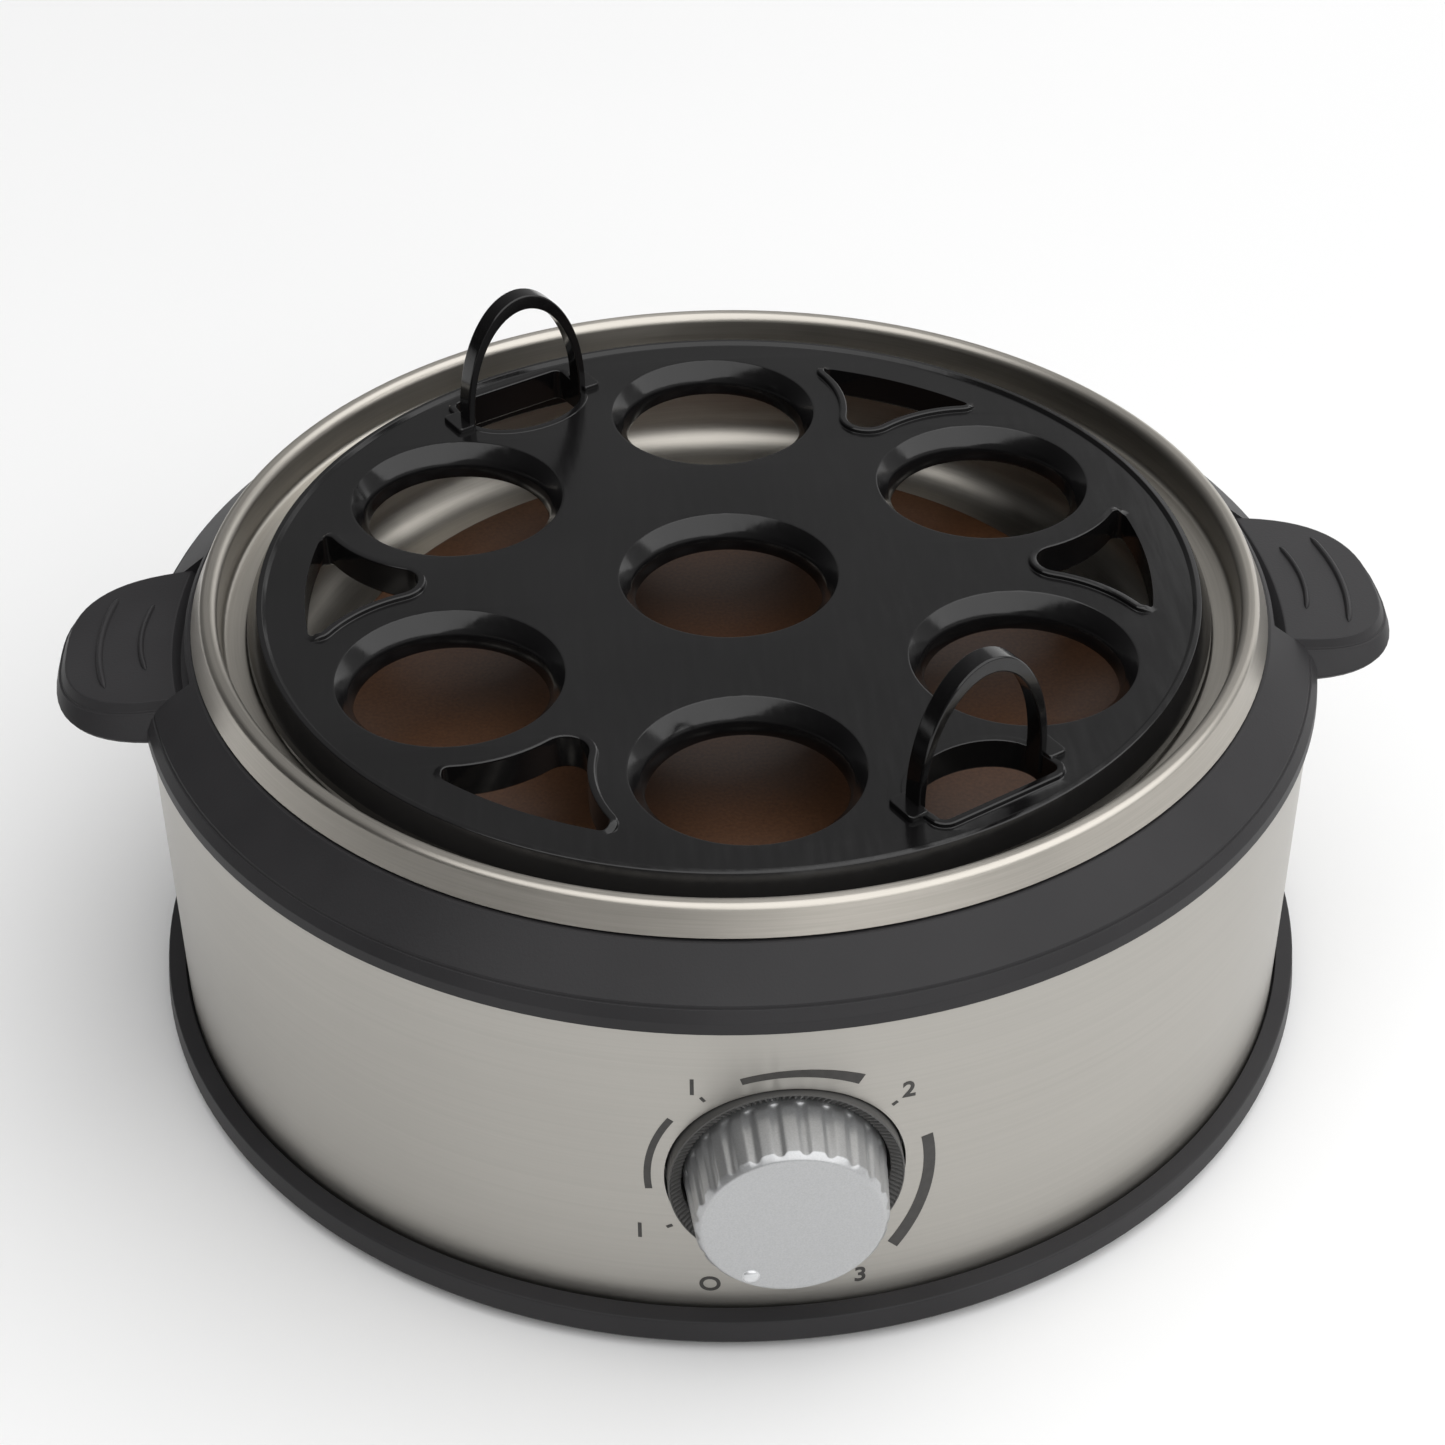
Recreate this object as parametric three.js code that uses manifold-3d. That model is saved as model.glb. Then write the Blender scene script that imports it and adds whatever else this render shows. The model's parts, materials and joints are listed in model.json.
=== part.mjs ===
// Seven-egg electric steam cooker: a round body with a turn knob, and a lift-out egg tray.
// Millimetres, +Z up. The origin is on the body's axis at table height. The knob faces -Y
// and the two handles point along +X and -X.

import * as THREE from 'three';
import { mergeVertices } from 'three/addons/utils/BufferGeometryUtils.js';
import Module from 'manifold-3d';

const wasm = await Module();
wasm.setup();

// ---- Driving dimensions: radii, and heights above the table ----

const BIG = 40; // facets round the large circles
const GAP = 0.3; // clearance left between pieces that touch

const BASE_R = 93; // foot of the base ring
const BASE_BOTTOM = 1.6; // the feet lift the base ring this far
const BASE_TOP = 5.7;
const FLANGE_Z = [4.2, 6.0]; // inner flange of the base ring
const COVER_R = 84.1;
const COVER_Z = [2.0, 4.0];

const SLEEVE_R = 89.5;
const SLEEVE_WALL = 0.6;
const SLEEVE_Z = [4.3, 59.9];

const RING_SKIRT = { r: 90.2, z: 58.6 }; // lower edge of the top ring
const RING_SHOULDER = { r: 88.7, z: 62.3 }; // where its side turns into its sloping top
const RING_LIP = { r: 82.2, z: 67.6 }; // its highest edge, under the pan's rim
const RING_BORE = 79.6;

const HANDLE_HALF = 20; // half of a handle's width
const HANDLE_TIP = 103; // reach of a handle from the axis
const HANDLE_BOTTOM = 58.4;
const HANDLE_SLOPE = 0.11; // fall of a handle's top per millimetre outwards
const HANDLE_TOP = 64.4; // height of its top at HANDLE_ROOT
const HANDLE_ROOT = 85;
const TROUGH_R = 82.85; // a trough between the ring's lip and a handle starts here

const POST = { count: 3, r: 80.2, first: 60 }; // screw posts hanging from the top ring
const POST_R = 4;
const SCREW_HOLE_R = 2; // case screws pass through holes of this radius
const CLIP = { count: 3, r: 0, first: 30 }; // tabs that hold the pan down
const STUD = { count: 3, r: 53, first: 0 }; // studs under the heating plate
const STUD_R = 1.8;
const FEET = { count: 4, r: 70, first: 45 };

const PAN_RIM_TOP = 72.1;
const PLATE_UNDERSIDE = 46.8;
const ELEMENT = { r: 44, tube: 3.6, from: 110, sweep: 320 };
const ELEMENT_Z = PLATE_UNDERSIDE - ELEMENT.tube - GAP;
const SHIELD_Z = 34;

const TRAY_TOP = 70.2;
const TRAY_UNDERSIDE = 68.4;
const SKIRT_LOW = 65.4; // lower edge of the skirts round the water openings
const SEAT_RING_R = 48.5; // six seats stand on this circle round the middle one
const SEAT_TOP_R = 16.6;
const SEAT_HOLE_R = 14.4;
const SEAT_FIRST = -91.8; // direction of the front seat, degrees
const STEP = 60; // between neighbouring seats, degrees
const OPENING = {
  outer: 64.5, // the outer side runs round the body's axis
  seatGap: 22.4, // and the other two sides run round the middles of the seats beside it
  point: { x: 50.8, r: 3.4 }, // rounding of its inner end
  corner: 1.2,
};
const LOOP_OPENING = { outer: 67.4, x: 63.8, r: 10 }; // half round, with a flat outer side
const LOOP = {
  turn: 1, // its middle, in degrees past the middle between two seats
  outer: [11.4, 20.4], // half width and height of the arch's ellipses
  inner: [10, 17.9],
  from: 59.6, // its faces, as distances from the body's axis
  to: 62.8,
  foot: 67.3,
  spring: 70.8, // height where the legs turn into the arch
};

const KNOB_Z = 31.4; // height of the knob's axis
const KNOB_R = 14;
const KNOB_FACE = 98.5; // distance of the knob's face from the body's axis
const FLUTES = 24;
const POINTER = { r: 11.1, clockwise: -148.5 }; // place of the dot on the knob's face

const CONTROL_SCREWS = [[-13.5, -13.2], [13.5, -13.2]]; // across, and above the knob's axis
const CONTROL_SCREW_HOLE_R = 1.6;

const GLAND_Z = 18; // height of the cord gland's axis
const TERMINAL_BLOCK = { x: [-47, -21], y: [35, 49], z: [4.3, 15] };
const LEAD_R = 1.1;

// ---- Materials ----

const finish = (color, roughness, metalness) =>
  new THREE.MeshStandardMaterial({ color, roughness, metalness });

const MATERIAL = {
  black: finish(0x2b2a2c, 0.5, 0),
  glossBlack: finish(0x1a191b, 0.3, 0),
  brushed: finish(0xa8a49c, 0.4, 1),
  steel: finish(0xb4b0a6, 0.3, 1),
  coated: finish(0x35200f, 0.6, 0.2),
  aluminium: finish(0xb0b0ae, 0.5, 1),
  zinc: finish(0x9a9a98, 0.45, 1),
  brass: finish(0xb09050, 0.4, 1),
  silver: finish(0xb5b5b6, 0.35, 0.6),
  bezel: finish(0x4b4a48, 0.5, 0),
  clear: finish(0xd0d2d4, 0.15, 0),
  rubber: finish(0x1c1c1c, 0.9, 0),
  cream: finish(0xd8d2c0, 0.6, 0),
  wire: finish(0xb8b4ac, 0.7, 0),
};

// ---- Geometry helpers ----

const radians = THREE.MathUtils.degToRad;

function polar(radius, degrees) {
  return [radius * Math.cos(radians(degrees)), radius * Math.sin(radians(degrees))];
}

// Points [r, z] turned about the Z axis. A profile that isn't on the axis is closed on itself.
function lathe(profile, segments = BIG) {
  const points = profile.map(([r, z]) => new THREE.Vector2(r, z));
  if (THREE.ShapeUtils.area(points) < 0) points.reverse();
  const onAxis = points[0].x === 0 && points[points.length - 1].x === 0;
  if (!onAxis) points.push(points[0].clone());
  return new THREE.LatheGeometry(points, segments).rotateX(Math.PI / 2);
}

function cylinder(radius, low, high, segments = 12) {
  const geometry = new THREE.CylinderGeometry(radius, radius, high - low, segments);
  return geometry.rotateX(Math.PI / 2).translate(0, 0, (low + high) / 2);
}

function box([x0, x1], [y0, y1], [z0, z1]) {
  const geometry = new THREE.BoxGeometry(x1 - x0, y1 - y0, z1 - z0);
  return geometry.translate((x0 + x1) / 2, (y0 + y1) / 2, (z0 + z1) / 2);
}

// A flat outline in XY given a thickness along Z.
function prism(shape, low, high, curveSegments = 8) {
  const options = { depth: high - low, bevelEnabled: false, curveSegments };
  return new THREE.ExtrudeGeometry(shape, options).translate(0, 0, low);
}

function circleShape(radius, segments, x = 0, y = 0) {
  const points = [];
  for (let i = 0; i < segments; i++) {
    const [dx, dy] = polar(radius, (360 * i) / segments);
    points.push(new THREE.Vector2(x + dx, y + dy));
  }
  return new THREE.Shape(points);
}

// A closed skin over a stack of rings that have equal point counts, capped at both ends.
function loft(rings) {
  const count = rings[0].length;
  const top = (rings.length - 1) * count;
  const index = [];
  for (let start = 0; start < top; start += count) {
    for (let i = 0; i < count; i++) {
      const a = start + i;
      const b = start + ((i + 1) % count);
      index.push(a, b, b + count, a, b + count, a + count);
    }
  }
  for (let i = 1; i < count - 1; i++) {
    index.push(0, i + 1, i, top, top + i, top + i + 1);
  }
  const geometry = new THREE.BufferGeometry().setFromPoints(rings.flat());
  geometry.setIndex(index);
  geometry.computeVertexNormals();
  return geometry;
}

// A round bar along a curve.
function tube(curve, radius, sides, steps) {
  const options = { steps, bevelEnabled: false, extrudePath: curve };
  return new THREE.ExtrudeGeometry(circleShape(radius, sides), options);
}

function toManifold(geometry) {
  const bare = geometry.clone();
  bare.deleteAttribute('normal');
  bare.deleteAttribute('uv');
  const merged = mergeVertices(bare, 1e-4);
  return new wasm.Manifold(
    new wasm.Mesh({
      numProp: 3,
      vertProperties: Float32Array.from(merged.attributes.position.array),
      triVerts: Uint32Array.from(merged.index.array),
    })
  );
}

function fromManifold(solid) {
  const { vertProperties, triVerts } = solid.getMesh();
  const geometry = new THREE.BufferGeometry();
  geometry.setAttribute('position', new THREE.BufferAttribute(vertProperties, 3));
  geometry.setIndex(new THREE.BufferAttribute(triVerts, 1));
  geometry.computeVertexNormals();
  return geometry;
}

// The first list joined into one solid, with the second list cut out of it.
function combine(joined, removed = []) {
  let solid = toManifold(joined[0]);
  for (const piece of joined.slice(1)) solid = solid.add(toManifold(piece));
  for (const piece of removed) solid = solid.subtract(toManifold(piece));
  return fromManifold(solid);
}

// ---- Body: base, feet, sleeve and top ring ----

// The places of a set of equal pieces spread round the axis: [x, y, degrees].
function around({ count, r, first }) {
  return Array.from({ length: count }, (_, i) => {
    const degrees = first + (360 * i) / count;
    return [...polar(r, degrees), degrees];
  });
}

function baseRing() {
  const inner = SLEEVE_R - SLEEVE_WALL;
  const ring = lathe([
    [BASE_R - 0.6, BASE_BOTTOM], [BASE_R, BASE_BOTTOM + 0.6],
    [BASE_R - 0.5, BASE_TOP - 0.4], [BASE_R - 0.9, BASE_TOP],
    [SLEEVE_R + 0.4, FLANGE_Z[1]], [SLEEVE_R + 0.4, SLEEVE_Z[0] - GAP],
    [inner - 0.5, SLEEVE_Z[0] - GAP], [inner - 0.5, FLANGE_Z[1] + 3.6],
    [inner - 2.3, FLANGE_Z[1] + 3.6], [inner - 2.3, FLANGE_Z[1]],
    [74, FLANGE_Z[1]], [74, FLANGE_Z[0]],
    [COVER_R + GAP, FLANGE_Z[0]], [COVER_R + GAP, BASE_BOTTOM],
  ]);
  const hole = cylinder(SCREW_HOLE_R, FLANGE_Z[0] - 1, FLANGE_Z[1] + 1, 10);
  return combine([ring], around(POST).map(([x, y]) => hole.clone().translate(x, y, 0)));
}

function bottomCover() {
  const shape = circleShape(COVER_R, BIG);
  for (const [x, y] of around(FEET)) shape.holes.push(circleShape(2.4, 10, x, y));
  for (const [x, y] of around(POST)) shape.holes.push(circleShape(SCREW_HOLE_R, 10, x, y));
  const airSlot = [[24, -1.6], [46, -1.6], [46, 1.6], [24, 1.6]];
  const centre = new THREE.Vector2();
  for (let i = 0; i < 6; i++) {
    const turn = radians(STEP * i);
    const corners = airSlot.map(([x, y]) => new THREE.Vector2(x, y).rotateAround(centre, turn));
    shape.holes.push(new THREE.Shape(corners));
  }
  return prism(shape, ...COVER_Z);
}

function foot() {
  return lathe(
    [[0, 0], [5.6, 0], [6.4, 0.5], [6.4, 1.9], [2, 1.9], [2, 4.6], [0, 4.6]],
    12
  );
}

function caseScrew() {
  return lathe([[0, 0.6], [3.2, 0.6], [3.2, 1.9], [1.6, 1.9], [1.6, 20], [0, 20]], 10);
}

function steelSleeve() {
  const inner = SLEEVE_R - SLEEVE_WALL;
  const [low, high] = SLEEVE_Z;
  const wall = lathe([[inner, low], [SLEEVE_R, low], [SLEEVE_R, high], [inner, high]]);
  const knobHole = cylinder(16.6, 80, 95, 36).rotateX(Math.PI / 2).translate(0, 0, KNOB_Z);
  const glandHole = cylinder(4.3, 80, 95, 16).rotateX(-Math.PI / 2).translate(0, 0, GLAND_Z);
  return combine([wall], [knobHole, glandHole]);
}

// A handle's outline, as far inside its widest level as the two insets say. It is straight
// along its sides and rounded at the tip, and its inner end follows a circle round the body.
function handleOutline(sideInset, tipInset, rootR) {
  const half = HANDLE_HALF - sideInset;
  const tip = HANDLE_TIP - tipInset;
  const shape = new THREE.Shape();
  shape.moveTo(rootR * Math.cos(Math.asin(half / rootR)), -half);
  shape.lineTo(88, -half);
  shape.bezierCurveTo(tip - 3.5, 0.6 - half, tip, -0.7 * half, tip, 0);
  shape.bezierCurveTo(tip, 0.7 * half, tip - 3.5, half - 0.6, 88, half);
  const end = Math.asin(half / rootR);
  shape.absarc(0, 0, rootR, end, -end, true);
  return shape.getPoints(6).slice(0, -1);
}

function handle() {
  const top = (x) => HANDLE_TOP - HANDLE_SLOPE * (x - HANDLE_ROOT);
  const level = (sideInset, tipInset, rootR, height) =>
    handleOutline(sideInset, tipInset, rootR).map(({ x, y }) => new THREE.Vector3(x, y, height(x)));
  return loft([
    level(0.6, 0.6, 82, () => HANDLE_BOTTOM),
    level(0, 0, 82, () => HANDLE_BOTTOM + 0.9),
    level(2.4, 0.6, 82, (x) => top(x) - 1.3),
    level(2.4, 0.6, HANDLE_ROOT - 1, (x) => top(x) - 1.29),
    level(3.4, 1.6, HANDLE_ROOT, top),
  ]);
}

// The room above a handle's inner end, cut from the ring before the handle is added.
function handleSeat() {
  const half = HANDLE_HALF - 3.4;
  const end = Math.asin(half / TROUGH_R);
  const shape = new THREE.Shape();
  shape.moveTo(92, -half);
  shape.lineTo(92, half);
  shape.absarc(0, 0, TROUGH_R, end, -end, true);
  return prism(shape, HANDLE_TOP - 1.4, 70, 6);
}

function topRing() {
  const inner = SLEEVE_R - SLEEVE_WALL;
  const ring = lathe([
    [RING_SKIRT.r, RING_SKIRT.z], [RING_SKIRT.r - 0.2, 60.3],
    [RING_SHOULDER.r + 0.7, RING_SHOULDER.z - 0.7], [RING_SHOULDER.r, RING_SHOULDER.z],
    [RING_LIP.r, RING_LIP.z], [RING_BORE, RING_LIP.z],
    [RING_BORE, 61.5], [RING_BORE + 2, 61.5], [RING_BORE + 2.2, 65],
    [inner - 2.6, 61], [inner - 2.6, 53.6], [inner - 0.5, 53.6],
    [inner - 0.5, SLEEVE_Z[1] + GAP], [SLEEVE_R + 0.35, SLEEVE_Z[1] + GAP],
    [SLEEVE_R + 0.35, RING_SKIRT.z],
  ]);
  const postFoot = FLANGE_Z[1] + GAP;
  const post = cylinder(POST_R, postFoot, 62.5);
  const bore = cylinder(SCREW_HOLE_R - 0.1, postFoot - 1, 21, 10);
  const posts = around(POST).map(([x, y]) => post.clone().translate(x, y, 0));
  const bores = around(POST).map(([x, y]) => bore.clone().translate(x, y, 0));
  const seats = [handleSeat(), handleSeat().rotateZ(Math.PI)];
  const handles = [handle(), handle().rotateZ(Math.PI)];
  const slotTop = SLEEVE_Z[1] + GAP;
  const slot = lathe([
    [inner - 0.5, 50], [SLEEVE_R + 0.35, 50],
    [SLEEVE_R + 0.35, slotTop], [inner - 0.5, slotTop],
  ]);
  return combine([combine([ring], seats), ...posts, ...handles], [slot, ...bores]);
}

// ---- Pan, heating plate and what hangs below them ----

function heatingPan() {
  return lathe([
    [81.8, 68], [81.2, 70.6], [79, PAN_RIM_TOP], [77.4, 70.4], [77.3, 66.8], [76.6, 66.2],
    [73.6, 65.6], [72.2, 54], [69.5, 49.8], [66, 48.6], [58, 48.6],
    [58, 48], [66.2, 48], [70.1, 49.4], [72.8, 53.8], [74.1, 65.1], [76.9, 65.6],
    [77.9, 66.6], [78, 70.1], [79, 71.5], [80.7, 70.2], [81.2, 68],
  ]);
}

// A tab against the pan's wall that hooks under the top ring.
function panClip() {
  const shape = new THREE.Shape();
  shape.moveTo(74.2, 55);
  shape.lineTo(75, 55);
  shape.lineTo(75, 60.2);
  shape.lineTo(81, 60.2);
  shape.lineTo(81, 61.2);
  shape.lineTo(74.2, 61.2);
  return prism(shape, -5, 5).rotateX(Math.PI / 2);
}

function heatingPlate() {
  return lathe([
    [0, PLATE_UNDERSIDE], [57.4, PLATE_UNDERSIDE], [57.4, 48.9], [62, 48.9],
    [62, 50.2], [61, 50.9], [0, 50.5],
  ]);
}

class ElementArc extends THREE.Curve {
  getPoint(t) {
    const [x, y] = polar(ELEMENT.r, ELEMENT.from + ELEMENT.sweep * t);
    return new THREE.Vector3(x, y, ELEMENT_Z);
  }
}

function heatingElement() {
  return tube(new ElementArc(), ELEMENT.tube, 8, 30);
}

function heatShield() {
  const low = SHIELD_Z;
  const dish = lathe([
    [10, low], [56, low], [60.5, low + 5.5],
    [59.9, low + 5.9], [55.7, low + 0.6], [10, low + 0.6],
  ], 32);
  const hole = cylinder(STUD_R + 0.6, low - 1, low + 2, 10);
  return combine([dish], around(STUD).map(([x, y]) => hole.clone().translate(x, y, 0)));
}

function hexNut(low, high, corner, bore) {
  const shape = circleShape(corner, 6);
  shape.holes.push(circleShape(bore, 10));
  return prism(shape, low, high);
}

// A bent strip that presses the thermostat against the heating plate.
function thermostatStrap() {
  const high = PLATE_UNDERSIDE - GAP;
  const right = [
    [12, high - 6.4], [16, high - 0.8], [26, high - 0.8],
    [26, high], [15.6, high], [11.6, high - 5.6],
  ];
  const left = right.map(([x, z]) => [-x, z]).reverse();
  const outline = [...right, ...left].map(([x, z]) => new THREE.Vector2(x, z));
  return prism(new THREE.Shape(outline), -4, 4).rotateX(Math.PI / 2);
}

// ---- Control: built with its axis along +Z, then laid over to face -Y ----

function controlScrewHoles() {
  const hole = cylinder(CONTROL_SCREW_HOLE_R, 75, 84.5, 8);
  return CONTROL_SCREWS.map(([x, y]) => hole.clone().translate(x, y, 0));
}

function controlBody() {
  const block = box([-17, 17], [-16, 12], [66.3, 82]);
  const bushing = cylinder(4.6, 81, 88.4, 16);
  const blades = [-6, 6].map((x) => box([x - 3, x + 3], [-5.4, -4.6], [59.5, 67]));
  const bore = cylinder(3.3, 67.6, 89, 16);
  return combine([block, bushing, ...blades], [bore, ...controlScrewHoles()]);
}

function controlBracket() {
  const footLow = FLANGE_Z[1] + GAP - KNOB_Z;
  const plate = box([-19, 19], [footLow, 11], [82.3, 83.5]);
  const toe = box([-19, 19], [footLow, footLow + 1.2], [75, 83]);
  return combine([plate, toe], [cylinder(5, 82, 84, 16), ...controlScrewHoles()]);
}

function controlScrew() {
  return lathe([[0, 76], [1.3, 76], [1.3, 83.8], [2.2, 83.8], [2.2, 85.1], [0, 85.1]], 10);
}

function knobBezel() {
  return lathe(
    [[16.3, 84], [16.3, 89.9], [16, 90.2], [14.5, 88.9], [14.5, 85.6], [5.2, 85.6], [5.2, 84]],
    30
  );
}

// A D-shaped round, flat on one side, for the shaft and the knob's bore.
function dShape(radius, flat) {
  const start = Math.acos(flat / radius);
  const shape = new THREE.Shape();
  shape.absarc(0, 0, radius, start, 2 * Math.PI - start);
  return shape;
}

function flutedRing(crest, depth, height) {
  return Array.from({ length: 2 * FLUTES }, (_, i) => {
    const [x, y] = polar(i % 2 ? crest : crest - depth, (180 * i) / FLUTES);
    return new THREE.Vector3(x, y, height);
  });
}

function pointerPlace() {
  return polar(POINTER.r, 90 - POINTER.clockwise);
}

function knob() {
  const skin = loft([
    flutedRing(KNOB_R, 0.5, 87.6),
    flutedRing(KNOB_R - 0.4, 0.5, KNOB_FACE - 1.2),
    flutedRing(KNOB_R - 1.5, 0, KNOB_FACE),
  ]);
  const hollow = lathe([[4.4, 87], [12.2, 87], [12.2, 96.6], [4.4, 96.6]], 24);
  const hubEnd = cylinder(5, 87, 89, 16);
  const bore = prism(dShape(3.3, 2.5), 87, 95, 14);
  const dotPocket = cylinder(1.6, 97.4, 99, 12).translate(...pointerPlace(), 0);
  return combine([skin], [hollow, hubEnd, bore, dotPocket]);
}

function knobPointer() {
  const dome = lathe([[0, 97.7], [1.3, 97.7], [1.3, 98.7], [0.8, 99], [0, 99.1]], 12);
  return dome.translate(...pointerPlace(), 0);
}

function knobSpring() {
  const shape = new THREE.Shape();
  shape.absarc(0, 0, 5.2, radians(20), radians(340));
  shape.absarc(0, 0, 4.7, radians(340), radians(20), true);
  return prism(shape, 90.5, 94, 12);
}

function cordGland() {
  return lathe(
    [
      [2.3, 84], [5.6, 84], [5.6, 88], [3.9, 88], [3.9, 90.1],
      [6.3, 90.1], [6.3, 92.4], [4.4, 97], [2.3, 97],
    ],
    20
  );
}

// ---- Wiring ----

function terminalBlock() {
  const body = box(TERMINAL_BLOCK.x, TERMINAL_BLOCK.y, TERMINAL_BLOCK.z);
  const notches = [-41, -34, -27].map((x) => box([x - 2, x + 2], [34, 50], [12, 16]));
  return combine([body], notches);
}

function lead(points) {
  const route = points.map((point) => new THREE.Vector3(...point));
  const curve = new THREE.CatmullRomCurve3(route, false, 'centripetal');
  return tube(curve, LEAD_R, 6, 4 * (points.length - 1));
}

const supplyLead = () =>
  lead([[0, 83.5, 18], [-6, 77, 16], [-20, 66, 11], [-30, 58, 9], [-34, 49.6, 8.5]]);

const switchLead = () =>
  lead([[-34, 34.4, 8.5], [-34, 14, 12], [-24, -26, 18], [-9, -48, 25], [-6, -58.8, 26.4]]);

// A lead that climbs outside the heat shield and turns in to an element pin.
function elementLead(start, side) {
  const climb = [
    [46, 49, 20], [44, 51, 35], [38, 52.5, 42.6],
    [22, 52.5, 43.2], [9, 51.5, 43.2], [6.2, 46.4, 42.9],
  ];
  return lead([...start, ...climb.map(([x, y, z]) => [side * x, y, z])]);
}

const loadLead = () =>
  elementLead([[6, -58.8, 26.4], [14, -48, 24], [44, -14, 16], [54, 22, 16]], 1);

const returnLead = () =>
  elementLead([[-41, 50.2, 8.5], [-41.5, 54, 10.5], [-45, 53, 15]], -1);

// ---- Egg tray and its two lift loops ----

function seatPlaces() {
  return [[0, 0], ...around({ count: 6, r: SEAT_RING_R, first: SEAT_FIRST })];
}

// A water opening between two seats, pointing along +X and grown outwards by a margin. Its
// outline is made of arcs that touch each other, given here for the half below the X axis.
function openingShape(grow) {
  const { outer, seatGap, point, corner } = OPENING;
  const seat = new THREE.Vector2(...polar(SEAT_RING_R, -STEP / 2));
  const reach = outer - corner;
  const gap = seatGap + corner;
  const angle = Math.acos((reach ** 2 + SEAT_RING_R ** 2 - gap ** 2) / (2 * reach * SEAT_RING_R));
  const turn = angle - radians(STEP / 2);
  const middle = new THREE.Vector2(reach * Math.cos(turn), reach * Math.sin(turn));
  const toPoint = new THREE.Vector2(point.x, 0).sub(seat).angle();
  const toCorner = middle.clone().sub(seat).angle();
  const half = new THREE.Path();
  half.absarc(point.x, 0, point.r + grow, Math.PI, toPoint + Math.PI, false);
  half.absarc(seat.x, seat.y, seatGap - grow, toPoint, toCorner, true);
  half.absarc(middle.x, middle.y, corner + grow, toCorner + Math.PI, turn + 2 * Math.PI, false);
  half.absarc(0, 0, outer + grow, turn, 0, false);
  const points = half.getPoints(5);
  const mirrored = points.slice(1, -1).reverse().map(({ x, y }) => new THREE.Vector2(x, -y));
  return new THREE.Shape([...points, ...mirrored]);
}

// The water opening under a lift loop.
function loopOpeningShape(grow) {
  const { outer, x, r } = LOOP_OPENING;
  const side = r + grow;
  const end = Math.asin(side / (outer + grow));
  const shape = new THREE.Shape();
  shape.absarc(x, 0, side, Math.PI / 2, (3 * Math.PI) / 2, false);
  shape.absarc(0, 0, outer + grow, -end, end, false);
  return new THREE.Shape(shape.getPoints(8).slice(0, -1));
}

const openingAngle = (i) => SEAT_FIRST + STEP / 2 + STEP * i;
const LOOP_OPENINGS = [0, 3]; // the openings that carry a lift loop
const LOOP_ANGLES = LOOP_OPENINGS.map((i) => openingAngle(i) + LOOP.turn);

// The two pairs of pockets for a loop's feet: lugs to add to the tray, and holes to cut in them.
function loopLugs(angle) {
  const [outer] = LOOP.outer;
  const block = (side, margin, near, far, low, high) => {
    const across = [side * near, side * far].sort((a, b) => a - b);
    const piece = box([LOOP.from - margin, LOOP.to + margin], across, [low, high]);
    return piece.rotateZ(radians(angle));
  };
  return {
    lugs: [-1, 1].map((side) => block(side, 1.5, 10.2, outer + 1.6, SKIRT_LOW, TRAY_TOP + 0.7)),
    pockets: [-1, 1].map((side) => block(side, GAP, 8, outer + GAP, LOOP.foot - GAP, 72)),
  };
}

function eggTray() {
  const disc = lathe([
    [0, TRAY_TOP], [70.5, TRAY_TOP], [70.9, TRAY_TOP + 0.5], [71.7, TRAY_TOP + 0.5],
    [73.4, 67.6], [73.6, 66.1], [71.4, 66.1], [71.2, 62.5], [69.8, 62.5],
    [69.8, TRAY_UNDERSIDE], [0, TRAY_UNDERSIDE],
  ]);
  const collar = lathe([[13.5, 64.8], [15.4, 64.8], [16.2, 69], [13.5, 69]], 16);
  const seat = lathe([
    [0, 64], [SEAT_HOLE_R, 64], [SEAT_HOLE_R, 65], [15, 68.2],
    [SEAT_TOP_R, TRAY_TOP], [SEAT_TOP_R, 71], [0, 71],
  ], 16);
  const added = [];
  const removed = [];
  for (const [x, y] of seatPlaces()) {
    added.push(collar.clone().translate(x, y, 0));
    removed.push(seat.clone().translate(x, y, 0));
  }
  for (let i = 0; i < 6; i++) {
    const carries = LOOP_OPENINGS.includes(i);
    const shape = carries ? loopOpeningShape : openingShape;
    const turn = radians(openingAngle(i) + (carries ? LOOP.turn : 0));
    added.push(prism(shape(1.2), SKIRT_LOW, TRAY_TOP + 0.5).rotateZ(turn));
    removed.push(prism(shape(0), 64, 72).rotateZ(turn));
  }
  for (const { lugs, pockets } of LOOP_ANGLES.map(loopLugs)) {
    added.push(...lugs);
    removed.push(...pockets);
  }
  return combine([disc, ...added], removed);
}

function liftLoop() {
  const { outer, inner, from, to, foot: low, spring } = LOOP;
  const shape = new THREE.Shape();
  shape.moveTo(outer[0], low);
  shape.lineTo(outer[0], spring);
  shape.absellipse(0, spring, ...outer, 0, Math.PI);
  shape.lineTo(-outer[0], low);
  shape.lineTo(-inner[0], low);
  shape.lineTo(-inner[0], spring);
  shape.absellipse(0, spring, ...inner, Math.PI, 0, true);
  shape.lineTo(inner[0], low);
  return prism(shape, from, to, 12).rotateX(Math.PI / 2).rotateZ(Math.PI / 2);
}

// ---- Assembly ----

const cooker = new THREE.Group();

function place(name, geometry, material, parent = cooker) {
  const mesh = new THREE.Mesh(geometry, material);
  mesh.name = name;
  parent.add(mesh);
  return mesh;
}

// One numbered copy of a piece at each place round the axis, turned to face outwards.
function placeAround(name, geometry, material, ring) {
  around(ring).forEach(([x, y, degrees], i) => {
    const mesh = place(`${name}_${i + 1}`, geometry, material);
    mesh.position.set(x, y, 0);
    mesh.rotation.z = radians(degrees);
  });
}

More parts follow.
